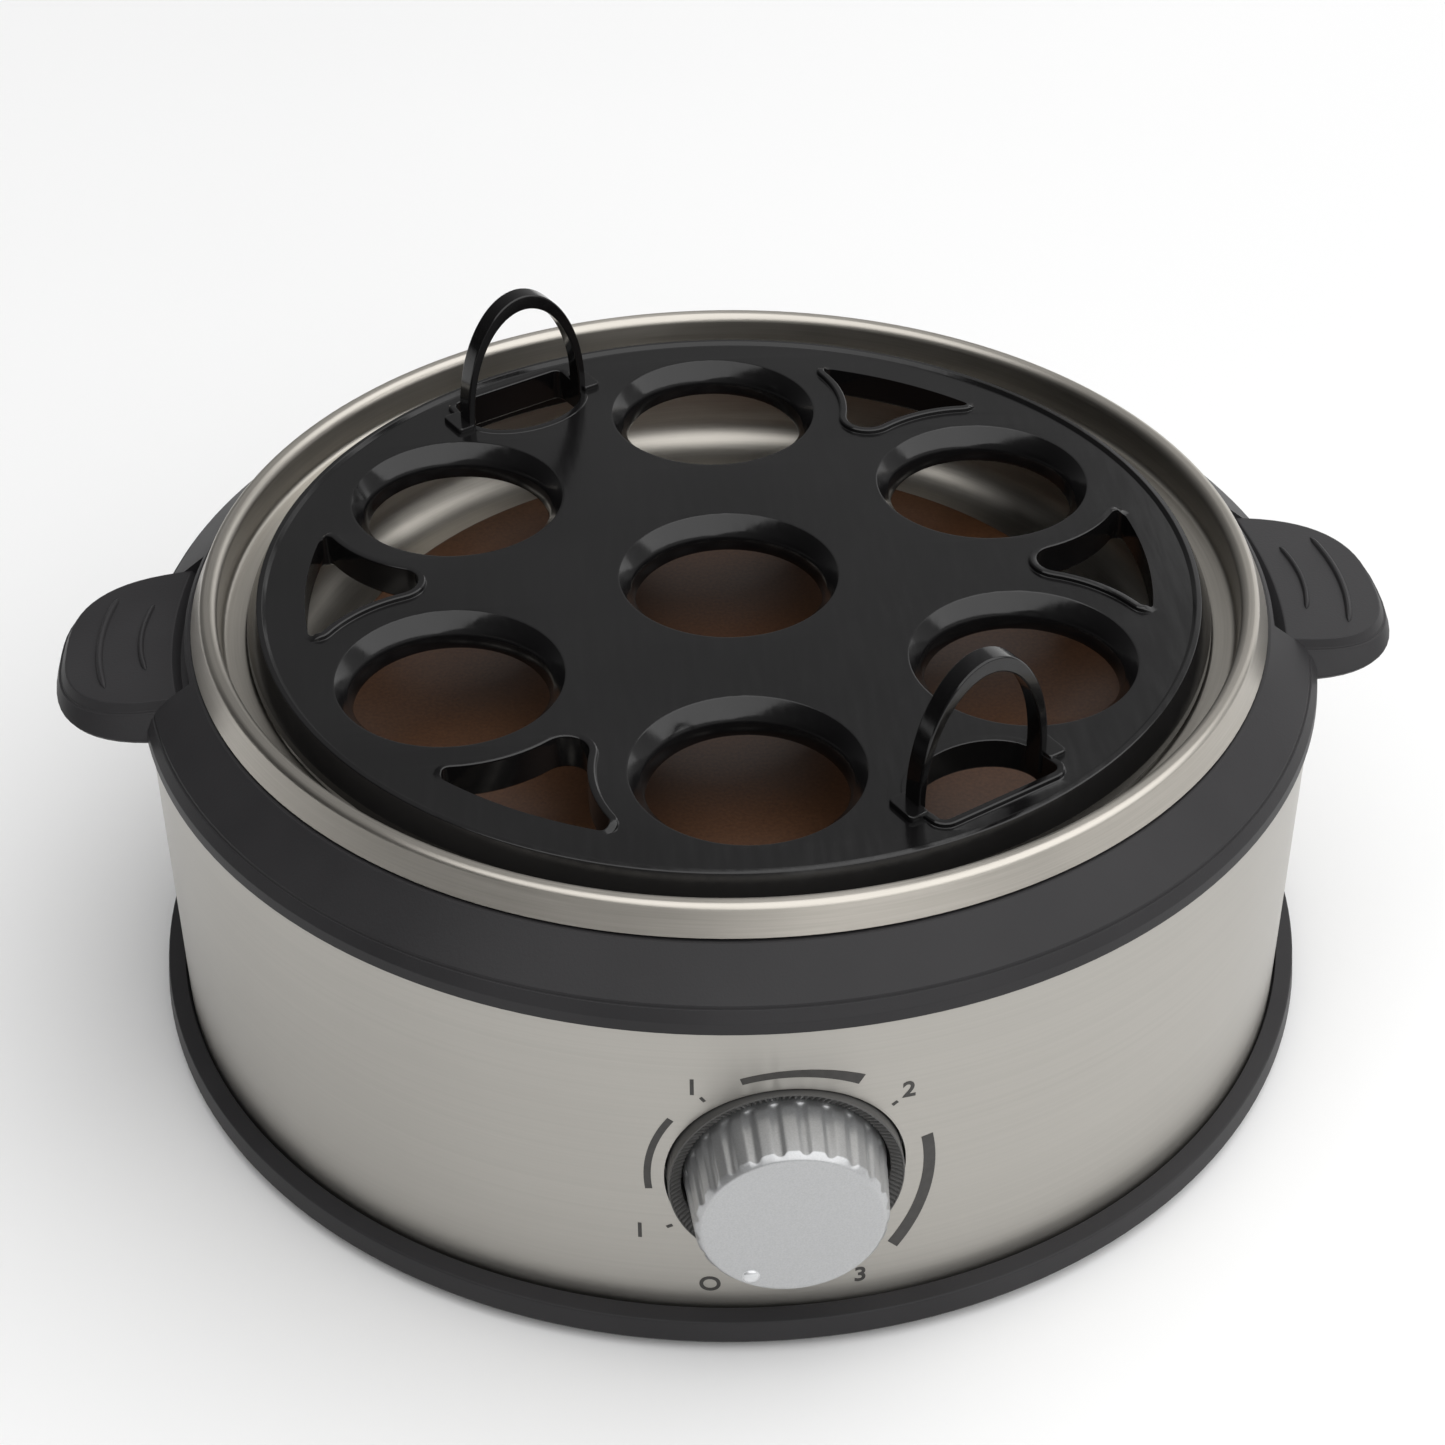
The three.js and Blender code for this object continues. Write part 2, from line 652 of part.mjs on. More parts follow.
place('base_ring', baseRing(), MATERIAL.black);
place('bottom_cover', bottomCover(), MATERIAL.black);
placeAround('foot', foot(), MATERIAL.rubber, FEET);
placeAround('case_screw', caseScrew(), MATERIAL.zinc, POST);
place('steel_sleeve', steelSleeve(), MATERIAL.brushed);
place('top_ring', topRing(), MATERIAL.black);

place('heating_pan', heatingPan(), MATERIAL.steel);
placeAround('pan_clip', panClip(), MATERIAL.zinc, CLIP);
place('heating_plate', heatingPlate(), MATERIAL.coated);
place('heating_element', heatingElement(), MATERIAL.aluminium);
for (const [i, side] of [1, -1].entries()) {
  const end = 90 - side * (90 - (ELEMENT.from + ELEMENT.sweep - 360));
  const pin = place(`element_pin_${i + 1}`, cylinder(1.3, GAP, 7.3, 8), MATERIAL.zinc);
  pin.rotation.set(0, Math.PI / 2, radians(end + side * 90), 'ZYX');
  pin.position.set(...polar(ELEMENT.r, end), ELEMENT_Z);
}
place('heat_shield', heatShield(), MATERIAL.aluminium);
const stud = cylinder(STUD_R, SHIELD_Z - 4.5, PLATE_UNDERSIDE - 0.2, 10);
placeAround('plate_stud', stud, MATERIAL.zinc, STUD);
placeAround('stud_nut', hexNut(31, SHIELD_Z - GAP, 4, 2.1), MATERIAL.zinc, STUD);
place('limit_thermostat', cylinder(8, 41.3, PLATE_UNDERSIDE - GAP, 20), MATERIAL.cream);
place('thermostat_strap', thermostatStrap(), MATERIAL.zinc);
const fuse = place('thermal_fuse', cylinder(2, -8, 8, 10), MATERIAL.cream);
fuse.position.set(0, 16, PLATE_UNDERSIDE - 2.6);
fuse.rotation.y = Math.PI / 2;

const control = new THREE.Group();
control.rotation.x = Math.PI / 2;
control.position.z = KNOB_Z;
cooker.add(control);
place('control_body', controlBody(), MATERIAL.cream, control);
place('control_bracket', controlBracket(), MATERIAL.zinc, control);
CONTROL_SCREWS.forEach(([x, y], i) => {
  const screw = place(`control_screw_${i + 1}`, controlScrew(), MATERIAL.zinc, control);
  screw.position.set(x, y, 0);
});
place('bushing_nut', hexNut(85.9, 88, 6.6, 4.9), MATERIAL.brass, control);
place('knob_bezel', knobBezel(), MATERIAL.bezel, control);
place('control_shaft', prism(dShape(3, 2.2), 68, 94.6, 14), MATERIAL.zinc, control);
place('knob', knob(), MATERIAL.silver, control);
place('knob_pointer', knobPointer(), MATERIAL.clear, control);
place('knob_spring', knobSpring(), MATERIAL.zinc, control);

const gland = place('cord_gland', cordGland(), MATERIAL.rubber);
gland.rotation.x = -Math.PI / 2;
gland.position.z = GLAND_Z;
place('terminal_block', terminalBlock(), MATERIAL.cream);
place('supply_lead', supplyLead(), MATERIAL.wire);
place('switch_lead', switchLead(), MATERIAL.wire);
place('load_lead', loadLead(), MATERIAL.wire);
place('return_lead', returnLead(), MATERIAL.wire);

place('egg_tray', eggTray(), MATERIAL.glossBlack);
LOOP_ANGLES.forEach((degrees, i) => {
  const loop = place(`lift_loop_${i + 1}`, liftLoop(), MATERIAL.glossBlack);
  loop.rotation.z = radians(degrees);
});

export default cooker;
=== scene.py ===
import json
import math

import bmesh
import bpy
from mathutils import Matrix, Vector
from mathutils.geometry import tessellate_polygon


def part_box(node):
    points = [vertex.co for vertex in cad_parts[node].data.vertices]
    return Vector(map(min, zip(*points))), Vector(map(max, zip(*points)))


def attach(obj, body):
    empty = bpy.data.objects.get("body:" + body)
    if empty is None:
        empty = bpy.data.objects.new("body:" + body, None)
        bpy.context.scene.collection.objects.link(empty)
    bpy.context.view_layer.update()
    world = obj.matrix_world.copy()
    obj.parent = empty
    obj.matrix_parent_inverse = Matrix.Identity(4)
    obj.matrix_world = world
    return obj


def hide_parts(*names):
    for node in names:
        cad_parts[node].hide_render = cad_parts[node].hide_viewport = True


# Looks of the seven-egg steam cooker. Shape code works in millimetres in the frame's own axes
# (+Z up, knob facing -Y, handles along +X and -X), and make_object() turns them into metres.

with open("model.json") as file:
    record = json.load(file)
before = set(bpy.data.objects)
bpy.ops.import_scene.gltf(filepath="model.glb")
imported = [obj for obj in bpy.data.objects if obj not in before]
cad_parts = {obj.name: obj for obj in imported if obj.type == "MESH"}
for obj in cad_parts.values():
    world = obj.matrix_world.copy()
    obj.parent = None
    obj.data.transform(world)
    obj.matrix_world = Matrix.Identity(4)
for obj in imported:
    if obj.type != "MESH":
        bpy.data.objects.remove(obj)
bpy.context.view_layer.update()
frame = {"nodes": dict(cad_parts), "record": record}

MM = 0.001


def low(node):
    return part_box(node)[0] / MM


def high(node):
    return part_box(node)[1] / MM


# ---- Driving dimensions, in millimetres: from the frame where a node's box gives them ----

BASE_R = high("base_ring").x
BASE_LOW = low("base_ring").z
SLEEVE_R = high("steel_sleeve").x
SLEEVE_LOW = low("steel_sleeve").z
SLEEVE_HIGH = high("steel_sleeve").z
PAN_R = high("heating_pan").x
PAN_TOP = high("heating_pan").z
PLATE_R = high("heating_plate").x
TRAY_R = high("egg_tray").x
TRAY_TOP = high("egg_tray").z - 0.7  # its flat top, below the raised edges
LOOP_TOP = high("lift_loop_1").z
KNOB_Z = (low("knob").z + high("knob").z) / 2
KNOB_R = high("knob").x
KNOB_FACE = -low("knob").y
BEZEL_R = high("knob_bezel").x
BEZEL_FACE = -low("knob_bezel").y
GLAND_Z = (low("cord_gland").z + high("cord_gland").z) / 2
GLAND_END = high("cord_gland").y

STEEL = 0.6  # thickness of the sheet metal
ROUND = 192  # segments round the large circles
AXIS_R = 0.01  # inner radius of a turned solid that reaches its axis

FOOT_R = 70  # distance of a foot's axis from the cooker's
SCREW_R = 80.2  # distance of a cover screw from the axis

HANDLE_TIP = high("top_ring").x
HANDLE_LOW = 58.4  # height of a handle's underside
HANDLE_ROOT = 84  # a handle's outlines are half superellipses that start here
HANDLE_HALF = 20.1  # half a handle's width
LIP_R = 82.85  # outside of the ring's lip, at a handle's trough

SEATS = 6  # seats, and openings between them, round the middle seat
SEAT_RING_R = 48.5
SEAT_FIRST = -91.8  # direction of the front seat, degrees
OPENING_FIRST = SEAT_FIRST + 180 / SEATS
BEAD = 0.75  # height of the raised edge round an opening
LOOP_OPENINGS = (0, 3)  # the openings that carry a lift loop
LOOP_TURN = 1  # a loop's middle, in degrees past the middle between two seats
LOOP_RADIUS = 61.2  # distance of a loop's middle plane from the axis

GROOVES = 24  # grooves round the knob
GROOVE_SAMPLES = 14  # points round the knob for each groove
POINTER_ANGLE = -148.5  # the knob points here when off, degrees clockwise from up
INK = 0.05  # the printed scale stands this proud of the sleeve, and reaches this far in


# ---- Outlines ----

def polar(radius, degrees):
    return Vector((radius * math.cos(math.radians(degrees)), radius * math.sin(math.radians(degrees))))


def arc(centre, radius, start, end, steps):
    """Points on a circular arc from start to end, in degrees."""
    middle = Vector(centre)
    return [middle + polar(radius, start + (end - start) * i / steps) for i in range(steps + 1)]


def rounded(corners, steps=4):
    """Closed outline of (x, y, radius) corners, with an arc at each corner that has a radius."""
    outline = []
    for i, (x, y, radius) in enumerate(corners):
        corner = Vector((x, y))
        if not radius:
            outline.append(corner)
            continue
        before = (Vector(corners[i - 1][:2]) - corner).normalized()
        after = (Vector(corners[(i + 1) % len(corners)][:2]) - corner).normalized()
        half = before.angle(after) / 2
        middle = corner + (before + after).normalized() * (radius / math.sin(half))
        reach = radius / math.tan(half)
        start = corner + before * reach - middle
        end = corner + after * reach - middle
        from_angle = math.atan2(start.y, start.x)
        turn = math.remainder(math.atan2(end.y, end.x) - from_angle, math.tau)
        for k in range(steps + 1):
            outline.append(middle + polar(radius, math.degrees(from_angle + turn * k / steps)))
    return outline


def normals(points, closed=True):
    """The unit normal at each point of a polyline, to the right of its direction."""
    found = []
    for i, point in enumerate(points):
        before = points[i - 1] if closed or i else point
        after = points[(i + 1) % len(points)] if closed or i < len(points) - 1 else point
        along = (after - before).normalized()
        found.append(Vector((along.y, -along.x)))
    return found


def sheet_outline(points, thickness):
    """A closed outline for sheet metal that follows an open polyline."""
    back = [p + n * thickness for p, n in zip(points, normals(points, closed=False))]
    return points + back[::-1]


def heading(vector):
    return math.degrees(math.atan2(vector.y, vector.x))


def fan_outline(grow):
    """The opening between two seats, along +X: three arcs joined by rounded corners."""
    outer = 64.5
    gap = 22.4  # distance from the middle of a seat
    corner = 1.2
    point_r = 3.4
    point = Vector((50.8, 0))
    seat = polar(SEAT_RING_R, -180 / SEATS)
    reach = outer - corner
    far = gap + corner
    between = math.acos((reach ** 2 + SEAT_RING_R ** 2 - far ** 2) / (2 * reach * SEAT_RING_R))
    turn = math.degrees(between) - 180 / SEATS
    middle = polar(reach, turn)
    to_point = heading(point - seat)
    to_corner = heading(middle - seat)
    lower = arc(point, point_r + grow, 180, 180 + to_point, 7)
    lower += arc(seat, gap - grow, to_point, to_corner, 10)[1:-1]
    lower += arc(middle, corner + grow, 180 + to_corner, 360 + turn, 7)
    lower += arc((0, 0), outer + grow, turn, 0, 6)[1:]
    return lower + [Vector((p.x, -p.y)) for p in lower[-2:0:-1]]


def loop_outline(grow):
    """The opening under a lift loop, along +X: half an ellipse closed by a chord."""
    straight = 61.5  # the ellipse ends here, and short sides lead on to the chord
    chord = 66.9
    depth = 7.5
    half = 10.4
    chord_half = 10.3
    corner = 1.3
    unit = arc((straight, 0), 1, 90, 270, 24)
    outline = [Vector((straight + (p.x - straight) * depth, p.y * half)) for p in unit]
    outline += arc((chord - corner, corner - chord_half), corner, -90, 0, 5)
    outline += arc((chord - corner, chord_half - corner), corner, 0, 90, 5)
    return [p + n * grow for p, n in zip(outline, normals(outline))]


def superellipse(a, b, power, steps=14):
    """The half with x above 0, from y = -b to y = b."""
    points = []
    for i in range(2 * steps + 1):
        angle = math.pi * (i / (2 * steps) - 0.5)
        x = a * abs(math.cos(angle)) ** (2 / power)
        y = b * math.copysign(abs(math.sin(angle)) ** (2 / power), math.sin(angle))
        points.append(Vector((x, y)))
    return points


def axis_arc(radius, half):
    """An arc about the cooker's axis and across +X, from y = half to y = -half."""
    edge = math.degrees(math.asin(half / radius))
    return arc((0, 0), radius, edge, -edge, 16)


# ---- Surfaces ----

class Shell:
    """Points and faces of one or more closed surfaces, in millimetres."""

    def __init__(self):
        self.points = []
        self.faces = []

    def loop(self, points):
        first = len(self.points)
        self.points.extend(Vector(p) for p in points)
        return list(range(first, len(self.points)))

    def bridge(self, a, b):
        for i in range(len(a)):
            j = (i + 1) % len(a)
            self.faces.append((a[i], a[j], b[j], b[i]))

    def fill(self, *loops):
        """Fills a flat region: the first loop is its edge and the others are holes."""
        lines = [[self.points[i] for i in loop] for loop in loops]
        index = [i for loop in loops for i in loop]
        for triangle in tessellate_polygon(lines):
            self.faces.append(tuple(index[i] for i in triangle))

    def skin(self, rings, ends="capped"):
        """Joins neighbouring rings. The ends are capped, joined to each other, or left open."""
        loops = [self.loop(ring) for ring in rings]
        for a, b in zip(loops, loops[1:]):
            self.bridge(a, b)
        if ends == "joined":
            self.bridge(loops[-1], loops[0])
        if ends == "capped":
            self.faces.append(tuple(loops[0]))
            self.faces.append(tuple(loops[-1]))
        return loops

    def turned(self, outline, segments=ROUND, centre=(0, 0), ends="joined"):
        """An outline of (radius, height) points turned about a vertical axis."""
        self.skin([circle(radius, height, segments, centre) for radius, height in outline], ends)

    def plate(self, walls):
        """A plate between two flat faces: the first wall is its edge and the others are holes."""
        loops = [self.skin(rings, "open") for rings in walls]
        self.fill(*[wall[0] for wall in loops])
        self.fill(*[wall[-1] for wall in loops])

    def moved(self, move):
        """Puts every point through the function move."""
        self.points = [Vector(move(p)) for p in self.points]
        return self


def circle(radius, height, segments=ROUND, centre=(0, 0)):
    ring = []
    for i in range(segments):
        x, y = polar(radius, 360 * i / segments)
        ring.append((centre[0] + x, centre[1] + y, height))
    return ring


def lifted(outline, height):
    """A flat outline as points in space."""
    return [(p.x, p.y, height) for p in outline]


def turn_z(degrees):
    rotation = Matrix.Rotation(math.radians(degrees), 3, "Z")
    return lambda p: rotation @ Vector(p)


def to_front(p):
    """From a control built along +Z to its place, facing -Y on the knob's axis."""
    return (p[0], -p[2], p[1] + KNOB_Z)


def to_back(p):
    """From a fitting built along +Z to its place, facing +Y on the cord's axis."""
    return (-p[0], p[2], p[1] + GLAND_Z)


def linked(name, data):
    made = bpy.data.objects.new(name, data)
    bpy.context.scene.collection.objects.link(made)
    return made


def make_object(name, shell):
    mesh = bpy.data.meshes.new(name)
    mesh.from_pydata([p * MM for p in shell.points], [], shell.faces)
    edit = bmesh.new()
    edit.from_mesh(mesh)
    bmesh.ops.recalc_face_normals(edit, faces=edit.faces)
    edit.to_mesh(mesh)
    edit.free()
    return linked(name, mesh)


def combine(target, shell, operation):
    """Joins a shell to target, or cuts it out."""
    tool = make_object("tool", shell)
    modifier = target.modifiers.new("combine", "BOOLEAN")
    modifier.object = tool
    modifier.operation = operation
    modifier.solver = "EXACT"
    evaluated = target.evaluated_get(bpy.context.evaluated_depsgraph_get())
    result = bpy.data.meshes.new_from_object(evaluated)
    target.modifiers.clear()
    target.data = result
    bpy.data.objects.remove(tool)


def finish_piece(made, slot, body, replaced, sharp=32):
    """Shading, material, body and stand-ins of a new piece."""
    made.data.shade_smooth()
    made.data.set_sharp_from_angle(angle=math.radians(sharp))
    modifier = made.modifiers.new("normals", "WEIGHTED_NORMAL")
    modifier.keep_sharp = True
    made.data.materials.clear()
    made.data.materials.append(FINISHES[slot])
    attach(made, body)
    if replaced:
        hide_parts(*replaced)


def add_piece(name, shell, slot, body, *replaced, sharp=32):
    finish_piece(make_object(name, shell), slot, body, replaced, sharp)


# ---- Materials ----

class Recipe:
    """A Principled material, with short ways to add the nodes that vary it."""

    def __init__(self, name, **sockets):
        self.material = bpy.data.materials.new(name)
        self.material.use_nodes = True
        self.tree = self.material.node_tree
        self.shader = self.tree.nodes["Principled BSDF"]
        for socket, value in sockets.items():
            self.shader.inputs[socket.replace("_", " ")].default_value = value

    def node(self, kind, links=None, **settings):
        made = self.tree.nodes.new(kind)
        for key, value in settings.items():
            setattr(made, key, value)
        for socket, value in (links or {}).items():
            if isinstance(value, bpy.types.NodeSocket):
                self.tree.links.new(value, made.inputs[socket])
            else:
                made.inputs[socket].default_value = value
        return made

    def feed(self, socket, value):
        self.tree.links.new(value, self.shader.inputs[socket])

    def position(self, scale=(1, 1, 1)):
        """Object coordinates in metres, multiplied by a scale for each axis."""
        place = self.node("ShaderNodeTexCoord").outputs["Object"]
        return self.node("ShaderNodeMapping", {"Vector": place, "Scale": scale}).outputs["Vector"]

    def noise(self, vector, scale, detail, rough=0.5):
        links = {"Vector": vector, "Scale": scale, "Detail": detail, "Roughness": rough}
        return self.node("ShaderNodeTexNoise", links).outputs["Fac"]

    def spread(self, value, start, end, from_low=0.3, from_high=0.7):
        """Maps a noise value to the range from start to end."""
        links = {
            "Value": value, "From Min": from_low, "From Max": from_high,
            "To Min": start, "To Max": end,
        }
        return self.node("ShaderNodeMapRange", links, clamp=True).outputs["Result"]

    def colour(self, value, first, second, from_low=0.3, from_high=0.7):
        """Feeds the base colour with a mix of two colours, spread over a noise value."""
        share = self.spread(value, 0, 1, from_low, from_high)
        links = {"Factor": share, 6: (*first, 1), 7: (*second, 1)}  # 6 and 7 are its colours A and B
        mixer = self.node("ShaderNodeMix", links, data_type="RGBA")
        self.feed("Base Color", mixer.outputs[2])

    def add(self, first, second, share=1.0):
        """The first value plus a share of the second."""
        links = {0: second, 1: share, 2: first}
        return self.node("ShaderNodeMath", links, operation="MULTIPLY_ADD").outputs[0]

    def bump(self, height, depth, strength):
        """Relief of a depth in metres."""
        links = {"Height": height, "Distance": depth, "Strength": strength}
        self.feed("Normal", self.node("ShaderNodeBump", links).outputs["Normal"])

    def tangent(self):
        """The brushing runs round the axis."""
        made = self.node("ShaderNodeTangent", direction_type="RADIAL", axis="Z")
        self.feed("Tangent", made.outputs["Tangent"])


def moulded_plastic(name, dark, light, roughness, grain, depth, gloss=0.5):
    """Moulded plastic with a fine eroded grain and faint uneven gloss."""
    recipe = Recipe(name, Specular_IOR_Level=gloss)
    cloud = recipe.noise(recipe.position(), 35, 3)
    fine = recipe.noise(recipe.position(), grain, 2)
    recipe.colour(cloud, dark, light)
    recipe.feed("Roughness", recipe.spread(cloud, roughness - 0.04, roughness + 0.05))
    recipe.bump(recipe.add(fine, cloud, 0.3), depth, 0.6)
    return recipe.material


def body_plastic():
    dark = (0.023, 0.0222, 0.0235)
    light = (0.032, 0.031, 0.0325)
    return moulded_plastic("body_plastic", dark, light, 0.45, 2600, 3e-5, 0.2)


def tray_plastic():
    """Glossy black, with slow ripples from moulding and a haze of hairline scratches."""
    recipe = Recipe("tray_plastic", IOR=1.5, Specular_IOR_Level=0.45)
    ripple = recipe.noise(recipe.position(), 28, 2)
    scratch = recipe.noise(recipe.position((700, 90, 700)), 1, 3)
    recipe.colour(ripple, (0.004, 0.0038, 0.004), (0.007, 0.0067, 0.007))
    recipe.feed("Roughness", recipe.spread(scratch, 0.1, 0.2))
    recipe.bump(recipe.add(scratch, ripple), 4e-5, 0.25)
    return recipe.material


def sleeve_steel():
    """Steel brushed round the axis: noise drawn out into long streaks, and faint smudges."""
    recipe = Recipe("sleeve_steel", Metallic=1.0, Anisotropic=0.7, Anisotropic_Rotation=0.25)
    stretch = (9, 9, 2300)
    fine = recipe.noise(recipe.position(stretch), 1, 1)
    broad = recipe.noise(recipe.position(tuple(s / 7 for s in stretch)), 1, 2)
    smudge = recipe.noise(recipe.position(), 22, 3)
    streak = recipe.add(fine, broad, 0.6)
    recipe.colour(streak, (0.43, 0.414, 0.383), (0.46, 0.443, 0.41), 0.5, 1.1)
    rough = recipe.add(recipe.spread(smudge, 0.285, 0.345), recipe.spread(streak, 0, 0.03, 0.5, 1.1))
    recipe.feed("Roughness", rough)
    recipe.bump(broad, 3e-6, 0.35)
    recipe.tangent()
    return recipe.material


def pan_steel():
    """Spun steel: the streaks follow circles on level faces as well as on walls."""
    recipe = Recipe("pan_steel", Metallic=1.0, Anisotropic=0.6, Anisotropic_Rotation=0.25)
    fineness = 4200.0  # streaks in a metre, roughly
    flat = recipe.position((1, 1, 0))
    radius = recipe.node("ShaderNodeVectorMath", {0: flat}, operation="LENGTH").outputs["Value"]
    across = recipe.node("ShaderNodeMath", {0: radius, 1: fineness}, operation="MULTIPLY").outputs[0]
    links = {"Vector": recipe.position((60, 60, fineness)), "W": across, "Scale": 1.0, "Detail": 3.0}
    grain = recipe.node("ShaderNodeTexNoise", links, noise_dimensions="4D").outputs["Fac"]
    smudge = recipe.noise(recipe.position(), 40, 3)
    recipe.colour(grain, (0.46, 0.435, 0.39), (0.52, 0.49, 0.445))
    recipe.feed("Roughness", recipe.add(recipe.spread(grain, 0.285, 0.32), recipe.spread(smudge, 0, 0.06)))
    recipe.bump(smudge, 3e-5, 0.2)
    recipe.tangent()
    return recipe.material


def plate_coating():
    """Dark brown non-stick coating with fine speckle."""
    recipe = Recipe("plate_coating")
    speckle = recipe.noise(recipe.position(), 1800, 2)
    cloud = recipe.noise(recipe.position(), 30, 4)
    tone = recipe.add(speckle, cloud, 0.8)
    recipe.colour(tone, (0.050, 0.020, 0.008), (0.095, 0.042, 0.018), 0.6, 1.2)
    recipe.feed("Roughness", recipe.spread(cloud, 0.38, 0.5))
    recipe.bump(speckle, 3e-5, 0.5)
    return recipe.material


def plain_metal(name, colour, shade, roughness):
    """Plated or cast metal with faint mottling and fine wear."""
    recipe = Recipe(name, Metallic=1.0)
    mottle = recipe.noise(recipe.position(), 320, 4)
    fine = recipe.noise(recipe.position(), 2400, 2)
    recipe.colour(mottle, shade, colour)
    recipe.feed("Roughness", recipe.spread(mottle, roughness, roughness + 0.12))
    recipe.bump(fine, 1.5e-5, 0.4)
    return recipe.material


def knob_silver():
    """Silver paint on plastic: fine metal flake under a satin coat."""
    recipe = Recipe("knob_silver", Metallic=0.75, Coat_Weight=0.25, Coat_Roughness=0.2)
    flake = recipe.noise(recipe.position(), 4200, 2, 0.7)
    cloud = recipe.noise(recipe.position(), 60, 3)
    recipe.colour(flake, (0.44, 0.445, 0.45), (0.52, 0.525, 0.53))
    recipe.feed("Roughness", recipe.add(recipe.spread(flake, 0.3, 0.4), recipe.spread(cloud, 0, 0.05)))
    recipe.bump(flake, 1e-5, 0.3)
    return recipe.material


def pointer_plastic():
    """A clear moulded dot over the silver paint."""
    recipe = Recipe("pointer_plastic", Metallic=0.35, Coat_Weight=1.0, Coat_Roughness=0.04)
    haze = recipe.noise(recipe.position(), 900, 2)
    recipe.colour(haze, (0.60, 0.61, 0.62), (0.72, 0.73, 0.74))
    recipe.feed("Roughness", recipe.spread(haze, 0.08, 0.16))
    return recipe.material


def foot_rubber():
    dark = (0.010, 0.010, 0.010)
    light = (0.018, 0.018, 0.018)
    return moulded_plastic("foot_rubber", dark, light, 0.78, 1500, 5e-5)


def cream_plastic():
    return moulded_plastic("cream_plastic", (0.58, 0.53, 0.41), (0.66, 0.61, 0.49), 0.5, 1500, 3e-5)


def lead_sleeving():
    return moulded_plastic("lead_sleeving", (0.40, 0.38, 0.33), (0.50, 0.48, 0.43), 0.6, 1200, 4e-5)


def bezel_plastic():
    dark = (0.07, 0.068, 0.065)
    light = (0.095, 0.093, 0.09)
    return moulded_plastic("bezel_plastic", dark, light, 0.4, 2600, 2e-5, 0.35)


def mark_ink():
    """Screen-printed ink, slightly worn."""
    recipe = Recipe("mark_ink")
    wear = recipe.noise(recipe.position(), 900, 4)
    recipe.colour(wear, (0.030, 0.028, 0.026), (0.052, 0.049, 0.046))
    recipe.feed("Roughness", recipe.spread(wear, 0.45, 0.6))
    return recipe.material


def floor_paper():
    """Pale studio paper."""
    recipe = Recipe("floor_paper")
    cloud = recipe.noise(recipe.position(), 3, 2)
    recipe.colour(cloud, (0.86, 0.86, 0.86), (0.88, 0.88, 0.88))
    recipe.feed("Roughness", recipe.spread(cloud, 0.8, 0.9))
    return recipe.material


FINISHES = {
    "body_plastic": body_plastic(),
    "tray_plastic": tray_plastic(),
    "sleeve_steel": sleeve_steel(),
    "pan_steel": pan_steel(),
    "plate_coating": plate_coating(),
    "cast_aluminium": plain_metal("cast_aluminium", (0.66, 0.66, 0.65), (0.55, 0.55, 0.54), 0.4),
    "zinc_steel": plain_metal("zinc_steel", (0.60, 0.60, 0.59), (0.48, 0.48, 0.47), 0.3),
    "nut_brass": plain_metal("nut_brass", (0.70, 0.52, 0.24), (0.58, 0.42, 0.18), 0.28),
    "knob_silver": knob_silver(),
    "bezel_plastic": bezel_plastic(),
    "pointer_plastic": pointer_plastic(),
    "foot_rubber": foot_rubber(),
    "cream_plastic": cream_plastic(),
    "lead_sleeving": lead_sleeving(),
}


def paint_frame():
    """Every CAD node gets the finish of its slot."""
    for part in frame["record"]["subparts"]:
        node = frame["nodes"][part["node"]]
        node.data.materials.clear()
        node.data.materials.append(FINISHES[part["material_slot"]])


# ---- Base, feet and sleeve ----

def base_ring():
    """The black band that the sleeve stands on, with a lip behind the sleeve and a flange inside."""
    band = 6.0  # height of the band's top
    lip = band + 3.6
    lip_out = SLEEVE_R - 1.1
    lip_in = SLEEVE_R - 2.9
    groove_out = SLEEVE_R + 0.4
    groove_low = SLEEVE_LOW - 0.3
    flange_in = 74
    flange_low = 4.2
    cover_r = 84.4  # the bottom cover goes in here, up to the flange
    shell = Shell()
    shell.turned(rounded([
        (BASE_R - 0.4, BASE_LOW, 0.3), (BASE_R, BASE_LOW + 0.6, 0.3), (BASE_R - 0.4, band - 0.4, 0.35),
        (groove_out, band - 0.15, 0.1), (groove_out, groove_low, 0), (lip_out, groove_low, 0),
        (lip_out, lip, 0.2), (lip_in, lip, 0.2), (lip_in, band, 0), (flange_in, band, 0.2),
        (flange_in, flange_low, 0.2), (cover_r, flange_low, 0), (cover_r, BASE_LOW, 0.2),
    ]))
    add_piece("base_band", shell, "body_plastic", "base", "base_ring")


COVER_LEVELS = ((2.0, -0.2), (2.2, 0), (3.8, 0), (4.0, -0.2))  # (height, growth of the plate)


def foot_places():
    return [polar(FOOT_R, 45 + 90 * i) for i in range(4)]


def cover_hole(radius, place):
    return [circle(radius - grow, height, 24, place) for height, grow in COVER_LEVELS]


def cover_slot(degrees):
    slot = rounded([(24, -1.6, 1.5), (46, -1.6, 1.5), (46, 1.6, 1.5), (24, 1.6, 1.5)])
    rings = []
    for height, grow in COVER_LEVELS:
        grown = [p - n * grow for p, n in zip(slot, normals(slot))]
        rings.append([turn_z(degrees)(p) for p in lifted(grown, height)])
    return rings


def bottom_cover():
    """The plate under the body, with air slots and holes for the feet and screws."""
    walls = [[circle(84.1 + grow, height) for height, grow in COVER_LEVELS]]
    walls += [cover_hole(2.4, place) for place in foot_places()]
    walls += [cover_hole(2.0, polar(SCREW_R, 60 + 120 * i)) for i in range(3)]
    walls += [cover_slot(60 * i) for i in range(6)]
    shell = Shell()
    shell.plate(walls)
    add_piece("vented_cover", shell, "body_plastic", "base", "bottom_cover")


